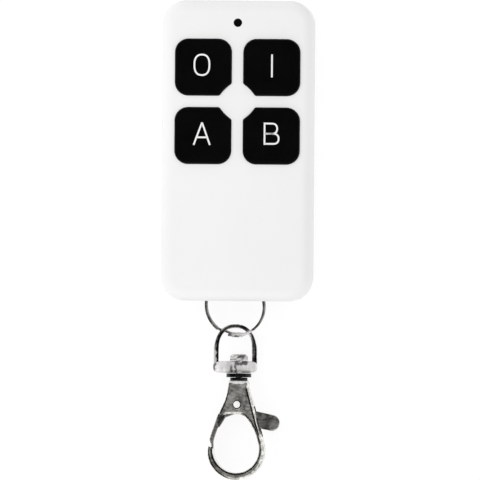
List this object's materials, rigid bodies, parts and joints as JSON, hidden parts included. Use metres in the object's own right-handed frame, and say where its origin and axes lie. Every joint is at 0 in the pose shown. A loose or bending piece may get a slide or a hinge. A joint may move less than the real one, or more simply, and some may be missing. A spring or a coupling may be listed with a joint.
{
  "type": "wireless remote control",
  "caption": "Key-fob radio remote: white crowned case with dark keys in a block, indicator, coin cell behind a screwed cover, split ring, swivel bail and lobster hook with sprung gate.",
  "frame": {"origin": "centre of the case's flat back face, at z = 0", "axes": "+X to the right seen from the keys, +Y along the case towards the indicator end, +Z out of the keys; the remote lies on its back"},
  "size_m": [0.0302, 0.0958, 0.013],
  "materials": {
    "case_white": "satin moulded plastic",
    "key_black": "soft-touch matte",
    "screw_steel": "zinc plated",
    "board_green": "solder mask",
    "radio_blue": "solder mask",
    "can_tin": "tinned",
    "antenna_ceramic": "fired ceramic",
    "chip_tan": "ceramic with tinned ends",
    "led_resin": "clear resin",
    "smoked_window": "smoked",
    "cell_steel": "nickel plated",
    "contact_nickel": "nickel plated",
    "ring_steel": "bright nickel",
    "bail_nickel": "bright nickel",
    "rivet_nickel": "bright nickel",
    "washer_dark": "blackened",
    "hook_nickel": "tumbled nickel",
    "gate_nickel": "tumbled nickel",
    "pin_nickel": "bright nickel",
    "switch_plastic": "moulded",
    "stem_brown": "moulded"
  },
  "bodies": {
    "case": {"front_shell": "case_white", "rear_shell": "case_white", "case_screws": "screw_steel", "main_board": "board_green", "radio_board": "radio_blue", "shield_can": "can_tin", "chip_antenna": "antenna_ceramic", "crystal": "can_tin", "chip_capacitors": "chip_tan", "status_led": "led_resin", "light_pipe": "smoked_window", "coin_cell": "cell_steel", "battery_clip": "contact_nickel", "battery_leaf": "contact_nickel", "ring_post": "screw_steel", "switch_body_off": "switch_plastic", "switch_body_on": "switch_plastic", "switch_body_a": "switch_plastic", "switch_body_b": "switch_plastic", "switch_plate_off": "can_tin", "switch_plate_on": "can_tin", "switch_plate_a": "can_tin", "switch_plate_b": "can_tin"},
    "off_key": {"key_off": "key_black", "switch_stem_off": "stem_brown"},
    "on_key": {"key_on": "key_black", "switch_stem_on": "stem_brown"},
    "a_key": {"key_a": "key_black", "switch_stem_a": "stem_brown"},
    "b_key": {"key_b": "key_black", "switch_stem_b": "stem_brown"},
    "cover": {"battery_cover": "case_white", "cover_screw": "screw_steel"},
    "ring": {"split_ring": "ring_steel"},
    "bail": {"swivel_bail": "bail_nickel"},
    "hook": {"hook_body": "hook_nickel", "swivel_rivet": "rivet_nickel", "swivel_washer": "washer_dark", "gate_pin": "pin_nickel", "gate_spring": "contact_nickel"},
    "gate": {"gate_lever": "gate_nickel"}
  },
  "joints": [
    {"name": "off_press", "type": "slide", "parent": "case", "child": "off_key", "axis": [0, 0, -1], "range_m": [0, 0.0003], "stiffness_N_per_m": 3000},
    {"name": "on_press", "type": "slide", "parent": "case", "child": "on_key", "axis": [0, 0, -1], "range_m": [0, 0.0003], "stiffness_N_per_m": 3000},
    {"name": "a_press", "type": "slide", "parent": "case", "child": "a_key", "axis": [0, 0, -1], "range_m": [0, 0.0003], "stiffness_N_per_m": 3000},
    {"name": "b_press", "type": "slide", "parent": "case", "child": "b_key", "axis": [0, 0, -1], "range_m": [0, 0.0003], "stiffness_N_per_m": 3000},
    {"name": "cover_lift", "type": "slide", "parent": "case", "child": "cover", "axis": [0, 0, -1], "range_m": [0, 0.012]},
    {"name": "ring_swing", "type": "hinge", "parent": "case", "child": "ring", "pos_m": [0, -0.0268, 0.0036], "axis": [0, 0, 1], "range_deg": [-25, 25]},
    {"name": "bail_tilt", "type": "hinge", "parent": "ring", "child": "bail", "pos_m": [0, -0.03685, 0.00257], "axis": [1, 0, 0], "range_deg": [-30, 40]},
    {"name": "hook_swivel", "type": "hinge", "parent": "bail", "child": "hook", "pos_m": [0.00035, -0.04325, 0.0026], "axis": [0, 1, 0], "continuous": true},
    {"name": "gate_open", "type": "hinge", "parent": "hook", "child": "gate", "pos_m": [0.0002, -0.05075, 0.00258], "axis": [-0.1045, 0, 0.9945], "range_deg": [0, 25], "stiffness_Nm_per_rad": 0.02, "deforming": ["gate_spring"]}
  ]
}
